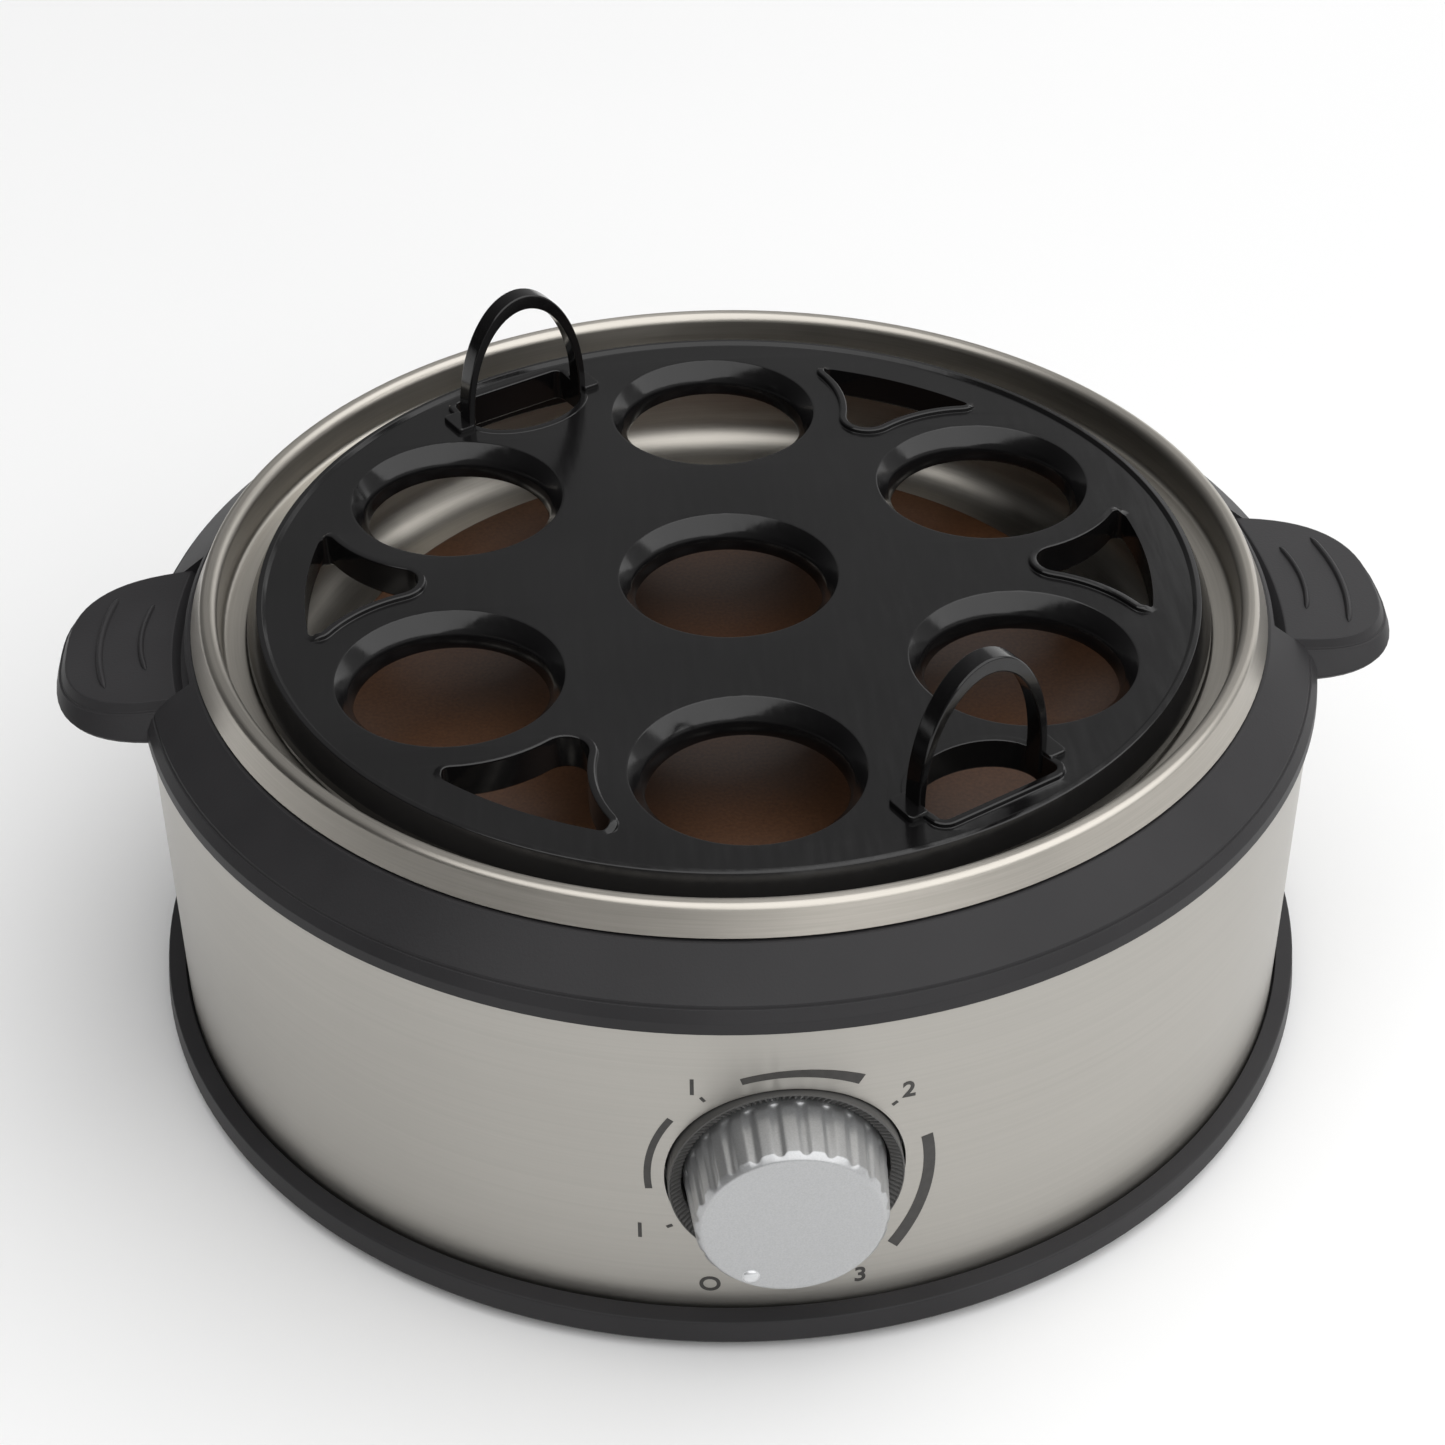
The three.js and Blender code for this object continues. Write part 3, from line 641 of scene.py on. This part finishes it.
def feet():
    """Rubber pads with a neck through the cover, and a plug in the hole down their middle."""
    neck = 2.2
    hole = 1.2
    pad = [
        (hole, 0, 0.2), (5.9, 0, 0.5), (6.4, 1.9, 0.3), (neck, 1.9, 0), (neck, 4.6, 0.3), (hole, 4.6, 0),
    ]
    plug = [(AXIS_R, 0.8, 0), (hole, 0.8, 0), (hole, 4.4, 0), (AXIS_R, 4.4, 0)]
    for number, place in enumerate(foot_places(), 1):
        shell = Shell()
        shell.turned(rounded(pad), 40, place)
        shell.turned(rounded(plug), 40, place)
        add_piece(f"rubber_foot_{number}", shell, "foot_rubber", "base", f"foot_{number}")


def bore(radius, segments):
    """The tool for a hole through the sleeve, along +Z."""
    shell = Shell()
    shell.turned([(radius, 80), (radius, 95)], segments, ends="capped")
    return shell


def sleeve():
    """The steel sleeve, with a hole in front for the knob's bezel and one behind for the cord."""
    shell = Shell()
    shell.turned(rounded([
        (SLEEVE_R - STEEL, SLEEVE_LOW, 0.1), (SLEEVE_R, SLEEVE_LOW, 0.15),
        (SLEEVE_R, SLEEVE_HIGH, 0.15), (SLEEVE_R - STEEL, SLEEVE_HIGH, 0.1),
    ], 2), 256)
    made = make_object("brushed_sleeve", shell)
    combine(made, bore(16.6, 96).moved(to_front), "DIFFERENCE")
    combine(made, bore(4.3, 48).moved(to_back), "DIFFERENCE")
    finish_piece(made, "sleeve_steel", "base", ["steel_sleeve"])


# ---- Top ring with its two handles ----

def pad_height(x):
    """A handle's top falls away outwards."""
    pad_start = 84.7
    start_height = 64.4
    slope = 0.11
    return start_height - slope * (x - pad_start)


def handle_outline(side_inset, end_inset, root_r):
    """A handle's outline at one level, along +X: its inner end follows the ring."""
    half = HANDLE_HALF - side_inset
    outline = superellipse(HANDLE_TIP - HANDLE_ROOT - end_inset, half, 2.7)
    return [Vector((p.x + HANDLE_ROOT, p.y)) for p in outline] + axis_arc(root_r, half)


def handle():
    """One handle, along +X, with a pad that stands on a chamfer."""
    root = 82  # the part below the pad reaches in to here, inside the ring
    foot = ((1.0, 0), (0.3, 0.2), (0, 0.7), (0.05, 1.0))  # (inset, rise from the underside)
    upper = (  # (side inset, end inset, root radius, drop from the pad's top)
        (2.2, 0.5, root, 1.75), (2.3, 0.55, root, 1.6), (2.6, 0.85, root, 1.52),
        (2.65, 0.9, root, 1.35), (2.68, 0.93, 83.8, 1.33), (2.75, 1.0, 83.95, 1.2),
        (3.15, 1.65, 84.9, 0.1), (3.25, 1.8, 85.05, 0.02), (3.5, 2.0, 85.3, 0),
    )
    rings = [lifted(handle_outline(inset, inset, root), HANDLE_LOW + rise) for inset, rise in foot]
    for side_inset, end_inset, root_r, drop in upper:
        outline = handle_outline(side_inset, end_inset, root_r)
        rings.append([(p.x, p.y, pad_height(p.x) - drop) for p in outline])
    shell = Shell()
    shell.skin(rings)
    return shell


def handle_seat():
    """The room for a handle's pad and trough, cut out of the ring."""
    half = HANDLE_HALF - 3.2
    outside = 92  # past the ring's outer edge
    outline = axis_arc(LIP_R, half) + [Vector((outside, -half)), Vector((outside, half))]
    shell = Shell()
    shell.skin([lifted(outline, 62.9), lifted(outline, 70)])
    return shell


def grip_rib(at, half_length, curve_r, width, height):
    """Rings along a raised arc on a handle's pad, with rounded ends."""
    section = arc((0, 0), 1, 0, 180, 6) + [Vector((-1, -0.7)), Vector((1, -0.7))]
    steps = 24
    rings = []
    for i in range(steps + 1):
        along = 2 * i / steps - 1
        swell = math.sqrt(max(1 - abs(along) ** 10, 0.02))
        angle = along * math.asin(half_length / curve_r)
        ring = []
        for corner in section:
            r = curve_r + corner.x * width / 2 * swell
            x = at - curve_r + r * math.cos(angle)
            rise = corner.y * height * (swell if corner.y > 0 else 1)
            ring.append((x, r * math.sin(angle), pad_height(x) + rise))
        rings.append(ring)
    return rings


def grip_ribs():
    """A long rib and a short one on each handle's pad."""
    for number, degrees in enumerate((0, 180), 1):
        shell = Shell()
        shell.skin(grip_rib(96.2, 11.8, 40, 1.1, 0.6))
        shell.skin(grip_rib(89.9, 8.6, 28, 0.9, 0.55))
        add_piece(f"grip_ribs_{number}", shell.moved(turn_z(degrees)), "body_plastic", "base")


def top_ring():
    """The black ring over the sleeve: lip, sloping shoulder, a slot for the sleeve, two handles."""
    inner = SLEEVE_R - STEEL
    slot_in = inner - 0.5
    slot_out = SLEEVE_R + 0.35
    slot_top = SLEEVE_HIGH + 0.3
    skirt = inner - 2.6
    shell = Shell()
    shell.turned(rounded([
        (90.2, 58.6, 0.2), (90.0, 60.4, 0.4), (89.0, 62.0, 0.12), (88.75, 61.95, 0.05),
        (88.6, 62.4, 0.15), (82.3, 67.55, 0.25), (81.9, 67.6, 0.1), (79.6, 67.4, 0.3),
        (79.6, 61.5, 0), (81.6, 61.5, 0), (81.8, 65, 0.5), (skirt, 61, 0), (skirt, 53.6, 0),
        (slot_in, 53.6, 0), (slot_in, slot_top, 0), (slot_out, slot_top, 0), (slot_out, 58.6, 0.1),
    ], 3))
    made = make_object("handled_ring", shell)
    for degrees in (0, 180):
        combine(made, handle_seat().moved(turn_z(degrees)), "DIFFERENCE")
        combine(made, handle().moved(turn_z(degrees)), "UNION")
    slot = Shell()  # cut again, because the handles reach into it
    slot.turned([(slot_in, 50), (slot_out, 50), (slot_out, 60.2), (slot_in, 60.2)])
    combine(made, slot, "DIFFERENCE")
    finish_piece(made, "body_plastic", "base", ["top_ring"])


# ---- Pan and heating plate ----

def heating_pan():
    """Sheet steel: a conical rim, down to a gutter, over the tray's ledge and down to the floor."""
    edge = [Vector((PAN_R - 0.15, 67.85)), Vector((PAN_R, 68.05))]
    cone = arc((PAN_R - 2.47, PAN_TOP - 1.0), 1.0, 24, 90, 8)
    crest = arc((PAN_R - 2.9, PAN_TOP - 1.4), 1.4, 90, 178, 8)[1:]
    gutter = arc((76.4, 67.1), 0.95, 0, -82, 5)
    ledge = arc((74.1, 65.0), 0.75, 95, 176, 4)
    bowl = arc((66.3, 54.9), 6.3, -4, -90, 10)
    path = edge + cone + crest + gutter + ledge + bowl + [Vector((58, 48.6))]
    shell = Shell()
    shell.turned(sheet_outline(path[::-1], STEEL))
    add_piece("rolled_pan", shell, "pan_steel", "base", "heating_pan", sharp=50)


def heating_plate():
    """A slightly dished plate, with a stepped edge that lies on the pan's floor."""
    step_r = 57.4
    shell = Shell()
    shell.turned(rounded([
        (AXIS_R, 46.8, 0), (step_r, 46.8, 0.3), (step_r, 48.9, 0), (PLATE_R, 48.9, 0.3),
        (PLATE_R, 50.9, 0.7), (56, 50.7, 3), (AXIS_R, 50.5, 0),
    ]), 128)
    add_piece("coated_plate", shell, "plate_coating", "base", "heating_plate")


# ---- Egg tray and its lift loops ----

SEAT_LEVELS = (  # (radius, height above the tray's top) down a seat's wall and up its outside
    (17.1, 0), (16.8, -0.08), (16.55, -0.35), (15.1, -2.0), (14.55, -3.2), (14.4, -4.8),
    (14.5, -5.25), (14.8, -5.4), (15.1, -5.35), (15.35, -5.1), (15.9, -2.4), (16.3, -1.8),
)


def opening_levels(bead):
    """(margin, height above the tray's top) down an opening's raised edge and skirt."""
    return (
        (1.45, 0), (1.25, bead * 0.12), (1.15, bead * 0.8), (0.95, bead), (0.25, bead),
        (0.05, bead * 0.85), (0, bead * 0.5), (0, -4.5), (0.2, -4.8), (0.9, -4.8), (1.1, -4.5),
        (1.2, -2.0), (1.4, -1.8),
    )


def opening_turn(index):
    """Turns a shape built along +X to the place of an opening."""
    extra = LOOP_TURN if index in LOOP_OPENINGS else 0
    return turn_z(OPENING_FIRST + 360 / SEATS * index + extra)


def raised_share(index, p):
    """How much of the raised edge an opening has beside a point."""
    if index in LOOP_OPENINGS:
        outside_loop = p.x > LOOP_RADIUS + 1.2
        return 1 if outside_loop else 0.2
    run_out = 64.3  # the edge sinks to nothing at this radius, over the last 0.8 mm
    return min(max((run_out - p.length) / 0.8, 0), 1)


def opening_rings(index):
    """The rings down one opening."""
    outline = loop_outline if index in LOOP_OPENINGS else fan_outline
    turn = opening_turn(index)
    rings = []
    for (grow, tall), (_, flat) in zip(opening_levels(BEAD), opening_levels(0)):
        ring = []
        for p in outline(grow):
            height = flat + (tall - flat) * raised_share(index, p)
            ring.append(turn((p.x, p.y, TRAY_TOP + height)))
        rings.append(ring)
    return rings


def loop_lug(side):
    """The block on the tray that a loop's foot clips into."""
    near = LOOP_RADIUS - 2.4
    far = LOOP_RADIUS + 3.2
    outline = rounded([(near, 10.6, 0.4), (far, 10.6, 0.4), (far, 13.7, 0.8), (near, 13.7, 0.8)])
    middle = Vector((LOOP_RADIUS + 0.4, 12.1))
    rings = []
    for shrink, height in ((1.0, -4.8), (1.0, 0.55), (0.95, 0.8), (0.86, 0.9)):
        level = [middle + (p - middle) * shrink for p in outline]
        rings.append([(p.x, side * p.y, TRAY_TOP + height) for p in level])
    shell = Shell()
    shell.skin(rings)
    return shell


def egg_tray():
    """The tray: seats in a ring round one in the middle, openings between them, and a rolled rim."""
    underside = TRAY_TOP - 1.8
    rim = rounded([
        (70.4, TRAY_TOP, 0.1), (70.9, TRAY_TOP + 0.55, 0.2), (71.7, TRAY_TOP + 0.5, 0.25),
        (TRAY_R - 0.2, 67.4, 0.5), (TRAY_R, 66.1, 0.15), (71.4, 66.1, 0), (71.2, 62.6, 0.3),
        (69.9, 62.6, 0.3), (69.8, underside, 0),
    ], 3)
    seats = [(0, 0)] + [polar(SEAT_RING_R, SEAT_FIRST + 360 / SEATS * i) for i in range(SEATS)]
    walls = [[circle(radius, height) for radius, height in rim]]
    for place in seats:
        walls.append([circle(radius, TRAY_TOP + rise, 96, place) for radius, rise in SEAT_LEVELS])
    walls += [opening_rings(i) for i in range(SEATS)]
    shell = Shell()
    shell.plate(walls)
    made = make_object("gloss_tray", shell)
    for i in LOOP_OPENINGS:
        for side in (-1, 1):
            combine(made, loop_lug(side).moved(opening_turn(i)), "UNION")
    finish_piece(made, "tray_plastic", "tray", ["egg_tray"])


def loop_path():
    """Inner and outer points along a loop in its plane, from one foot to the other."""
    inner_half = 10.0
    outer_half = 11.3
    spring = 71.5  # height where the legs turn into the arch
    inner_rise = 17.2
    steps = 48
    legs = {}
    for side in (1, -1):
        legs[side] = [(Vector((side * inner_half, z)), Vector((side * outer_half, z))) for z in (67.4, 69.5)]
    arch = []
    for i in range(steps + 1):
        angle = math.pi * i / steps
        inner = Vector((inner_half * math.cos(angle), spring + inner_rise * math.sin(angle)))
        outer = Vector((outer_half * math.cos(angle), spring + (LOOP_TOP - spring) * math.sin(angle)))
        arch.append((inner, outer))
    return legs[1] + arch + legs[-1][::-1]


def lift_loops():
    """Two arches to lift the tray by, each with a rounded section."""
    half_width = 1.6
    for number, index in enumerate(LOOP_OPENINGS, 1):
        rings = []
        for inner, outer in loop_path():
            half = (outer - inner).length / 2
            across = (outer - inner).normalized()
            section = rounded([
                (-half, -half_width, 0.3), (half, -half_width, 0.3),
                (half, half_width, 0.35), (-half, half_width, 0.3),
            ])
            ring = []
            for out, depth in section:
                place = (inner + outer) / 2 + across * out
                ring.append((LOOP_RADIUS + depth, place.x, place.y))
            rings.append(ring)
        shell = Shell()
        shell.skin(rings)
        shell.moved(opening_turn(index))
        add_piece(f"carry_loop_{number}", shell, "tray_plastic", "tray", f"lift_loop_{number}")


# ---- Knob, bezel and printed scale ----

def groove(sample):
    """Share of a groove's depth at one of the points round the knob."""
    half_width = 0.24  # as a share of the pitch
    offset = (sample % GROOVE_SAMPLES) / GROOVE_SAMPLES - 0.5
    return max(0.0, 1 - (offset / half_width) ** 2)


def knob_ring(radius, distance, depth):
    """A ring round the knob's axis. A distance that is a function gets the point's radius."""
    ring = []
    count = GROOVES * GROOVE_SAMPLES
    for i in range(count):
        reach = radius - depth * groove(i)
        x, y = polar(reach, 90 + 360 * i / count)
        ring.append((x, y, distance(reach) if callable(distance) else distance))
    return ring


def knob():
    """A tapered knob with grooves that run out before its foot, and a chamfered face."""
    foot = 87.6
    groove_start = foot + 1.5
    groove_depth = 0.45
    crest = KNOB_R - 0.7
    face_r = 12.4
    slope = 1.1

    def chamfer(r):
        return KNOB_FACE - 0.05 - (r - face_r) * slope

    rings = [knob_ring(r, z, 0) for r, z in ((13.0, foot + 0.1), (13.7, foot), (14.0, foot + 0.25))]
    # share of the grooves' depth, and how far ahead of their start
    for share, ahead in ((0, 0), (0.3, 0.12), (0.6, 0.3), (0.85, 0.55), (1, 0.9)):
        rings.append(knob_ring(KNOB_R - 0.05, groove_start + ahead, groove_depth * share))
    for inset, below, depth in ((0, 0.2, 0.4), (0.04, 0.07, 0.4), (0.12, 0, 0.38)):
        rings.append(knob_ring(crest - inset, lambda r: chamfer(r) - below, depth))
    for past, below in ((0.12, 0.16), (0, 0.07), (-0.2, 0.01), (-0.5, 0)):
        rings.append(knob_ring(face_r + past, KNOB_FACE - below, 0))
    shell = Shell()
    shell.skin(rings)
    add_piece("fluted_knob", shell.moved(to_front), "knob_silver", "knob", "knob", sharp=40)


def knob_pointer():
    """A low dome let into the knob's face."""
    dome = [(1.25, KNOB_FACE - 0.3), (1.25, KNOB_FACE + 0.02)]
    for angle in (0, 0.3, 0.6, 0.9, 1.2, 1.45):
        dome.append((1.15 * math.cos(angle), KNOB_FACE + 0.05 + 0.5 * math.sin(angle)))
    shell = Shell()
    shell.turned(dome, 32, polar(10.9, 90 - POINTER_ANGLE), "capped")
    add_piece("pointer_dot", shell.moved(to_front), "pointer_plastic", "knob", "knob_pointer")


def knob_bezel():
    """A dished ring with fine radial ribs, round the knob's foot."""
    ribs = 120
    samples = 4  # points round the bezel for each rib
    valley = 0.35  # depth between two ribs
    profile = (  # (radius, distance from the cooker's axis, depth between ribs)
        (5.2, 84.1, 0), (5.2, 85.6, 0), (14.35, 85.6, 0), (14.4, 89.2, valley),
        (BEZEL_R - 0.4, BEZEL_FACE - 0.1, valley), (BEZEL_R - 0.2, BEZEL_FACE, 0),
        (BEZEL_R - 0.05, BEZEL_FACE - 0.08, 0), (BEZEL_R, BEZEL_FACE - 0.3, 0), (BEZEL_R, 84.1, 0),
    )
    rings = []
    for radius, distance, depth in profile:
        ring = []
        for i in range(ribs * samples):
            x, y = polar(radius, 360 * i / (ribs * samples))
            ring.append((x, y, distance - (depth if i % samples < samples / 2 else 0)))
        rings.append(ring)
    shell = Shell()
    shell.skin(rings, "joined")
    add_piece("ribbed_bezel", shell.moved(to_front), "bezel_plastic", "base", "knob_bezel", sharp=25)


def on_sleeve(across, up, lift):
    """A point of the printed scale: its place from the knob's axis, laid on the sleeve."""
    angle = across / SLEEVE_R
    radius = SLEEVE_R + lift
    return (radius * math.sin(angle), -radius * math.cos(angle), KNOB_Z + up)


def printed_arc(shell, start, end, band, end_band):
    """A stripe round the knob, from start to end in degrees clockwise from up.

    Its inner and outer radius change from those in band to those in end_band.
    """
    steps = max(2, round(abs(end - start) / 3))
    rings = []
    for i in range(steps + 1):
        share = (i / steps) ** 2
        angle = 90 - start - (end - start) * i / steps
        a, b = [polar(first + (last - first) * share, angle) for first, last in zip(band, end_band)]
        corners = ((a, -INK), (b, -INK), (b, INK), (a, INK))
        rings.append([on_sleeve(*place, lift) for place, lift in corners])
    shell.skin(rings)


def printed_sign(shell, sign, radius, clockwise, size):
    """A letter or digit centred at a place on the scale."""
    curve = bpy.data.curves.new("sign", "FONT")
    curve.body = sign
    curve.size = size
    curve.align_x = "CENTER"
    curve.extrude = INK
    curve.offset = 0.02 * size
    curve.resolution_u = 6
    text = linked("sign", curve)
    flat = bpy.data.meshes.new_from_object(text.evaluated_get(bpy.context.evaluated_depsgraph_get()))
    middle = polar(radius, 90 - clockwise)
    baseline = middle.y - 0.35 * size
    first = len(shell.points)
    for v in flat.vertices:
        shell.points.append(Vector(on_sleeve(middle.x + v.co.x, v.co.y + baseline, v.co.z)))
    shell.faces += [tuple(first + i for i in face.vertices) for face in flat.polygons]
    bpy.data.objects.remove(text)


def printed_scale():
    """Three stripes, each wider than the one before, three ticks, and the five settings' signs."""
    shell = Shell()
    printed_arc(shell, -97.5, -55, (18.5, 19.5), (18.6, 19.6))
    printed_arc(shell, -18.6, 30.5, (18.7, 19.8), (18.9, 20.7))
    printed_arc(shell, 78, 136.5, (19.2, 20.9), (21.2, 23.2))
    tick = (18.3, 19.2)
    for clockwise in (-121, -37, 52):
        printed_arc(shell, clockwise - 0.7, clockwise + 0.7, tick, tick)
    signs = (  # (sign, radius, degrees clockwise from up)
        ("O", 23.5, -153.3), ("I", 23.0, -118.3), ("1", 21.4, -36.4), ("2", 21.6, 50.6),
        ("3", 23.7, 153),
    )
    for sign, radius, clockwise in signs:
        printed_sign(shell, sign, radius, clockwise, 3.9)
    made = make_object("printed_scale", shell)
    made.data.materials.append(mark_ink())
    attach(made, "base")


def cord_gland():
    """The bushing at the back that the cord passes through."""
    shell = Shell()
    shell.turned(rounded([
        (2.3, 84, 0.2), (5.6, 84, 0.3), (5.6, 88, 0.2), (3.9, 88.1, 0), (3.9, 90.1, 0),
        (6.3, 90.0, 0.3), (6.3, 92.2, 0.5), (5.0, 93.6, 0.3), (4.5, GLAND_END, 0.5),
        (2.3, GLAND_END, 0.3),
    ]), 64)
    add_piece("cord_bushing", shell.moved(to_back), "foot_rubber", "base", "cord_gland")


# ---- Camera, floor and light ----

def camera():
    """Where the photograph was taken from, in metres and degrees."""
    data = bpy.data.cameras.new("camera")
    data.sensor_width = 36
    data.lens = 70.0
    made = linked("camera", data)
    pan = Matrix.Rotation(math.radians(-4.628), 4, "Z")
    tilt = Matrix.Rotation(math.radians(52.945), 4, "X")
    roll = Matrix.Rotation(math.radians(-0.350), 4, "Z")
    made.matrix_world = Matrix.Translation((-0.0299, -0.3558, 0.3112)) @ pan @ tilt @ roll
    bpy.context.scene.camera = made


def floor():
    """A wide pale disc."""
    reach = 3000
    thickness = 20
    shell = Shell()
    shell.turned([(AXIS_R, -thickness), (reach, -thickness), (reach, 0), (AXIS_R, 0)], 96)
    made = make_object("floor", shell)
    made.data.materials.append(floor_paper())


def softbox(name, place, size, power):
    """A square area light that points at the cooker."""
    data = bpy.data.lights.new(name, "AREA")
    data.size = size
    data.energy = power
    made = linked(name, data)
    made.location = place
    aim = Vector((0, 0, 0.04))
    made.rotation_euler = (aim - made.location).to_track_quat("-Z", "Y").to_euler()


def studio():
    """A wide ceiling light, a low panel behind on the right, and a world that darkens to the left."""
    softbox("ceiling", (0.45, -0.4, 1.5), 3.6, 62)
    softbox("panel", (0.9, 1.1, 0.45), 1.0, 2)
    world = bpy.data.worlds.new("studio")
    world.use_nodes = True
    tree = world.node_tree
    direction = tree.nodes.new("ShaderNodeTexCoord").outputs["Generated"]
    parts = tree.nodes.new("ShaderNodeSeparateXYZ")
    tree.links.new(direction, parts.inputs[0])
    sideways = tree.nodes.new("ShaderNodeMapRange")
    tree.links.new(parts.outputs["X"], sideways.inputs["Value"])
    for socket, value in (("From Min", -1.0), ("From Max", 0.35), ("To Min", 0.0), ("To Max", 0.4)):
        sideways.inputs[socket].default_value = value
    tree.links.new(sideways.outputs["Result"], tree.nodes["Background"].inputs["Strength"])
    tree.nodes["Background"].inputs["Color"].default_value = (1, 1, 1, 1)
    bpy.context.scene.world = world
    bpy.context.scene.view_settings.view_transform = "Standard"


camera()
floor()
studio()
paint_frame()
base_ring()
bottom_cover()
feet()
sleeve()
top_ring()
grip_ribs()
heating_pan()
heating_plate()
egg_tray()
lift_loops()
knob()
knob_pointer()
knob_bezel()
printed_scale()
cord_gland()
